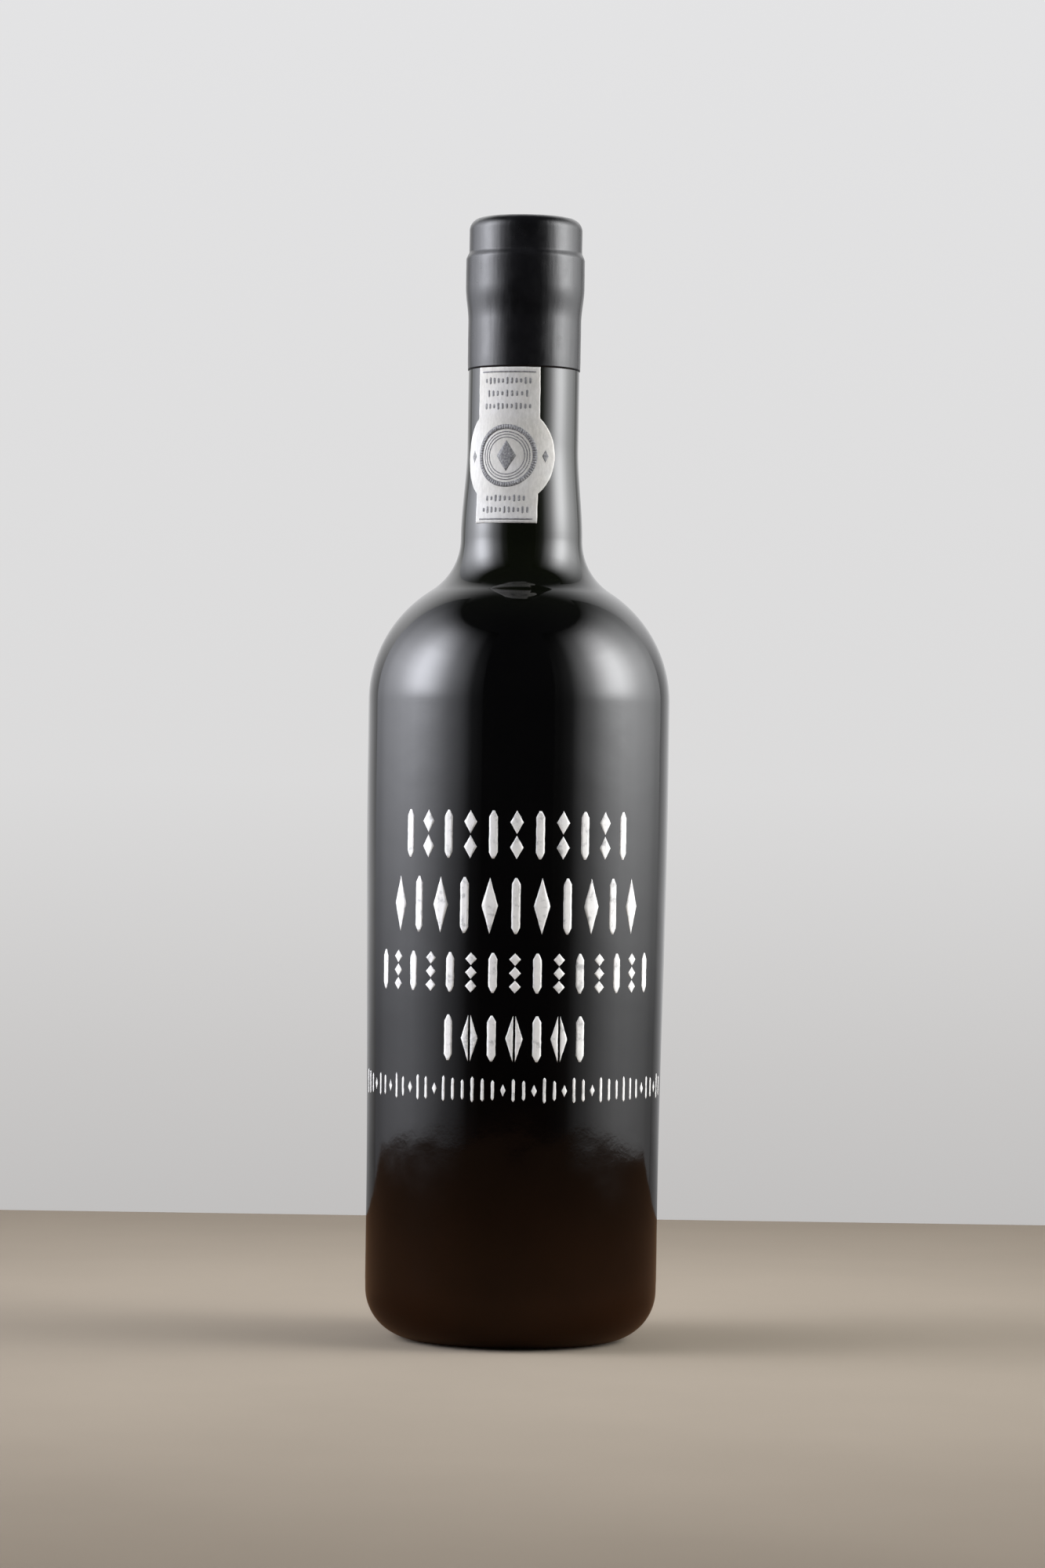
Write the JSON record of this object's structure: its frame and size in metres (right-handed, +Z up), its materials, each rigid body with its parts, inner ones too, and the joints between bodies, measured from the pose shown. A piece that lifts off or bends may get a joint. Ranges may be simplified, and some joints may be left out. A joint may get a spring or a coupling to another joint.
{
  "type": "wine bottle",
  "caption": "Round-shouldered dark glass bottle of fortified wine, shut, with a close-fitting capsule over the mouth and a paper seal on the neck.",
  "frame": {"origin": "centre of the base, on the surface that the bottle stands on", "axes": "+Z up along the bottle's axis, front (printed side) towards -Y, +X to the right of someone facing the front"},
  "size_m": [0.0785, 0.0784, 0.292],
  "materials": {
    "glass": "near-black brown-green bottle glass, polished, full of dark wine",
    "capsule": "black shrunk-on capsule, semi-gloss",
    "paper": "matt white seal paper with pale grey marks",
    "print": "white stencilled enamel paint, slightly worn"
  },
  "bodies": {
    "root": {"bottle": "glass", "capsule": "capsule", "seal": "paper"}
  },
  "joints": []
}
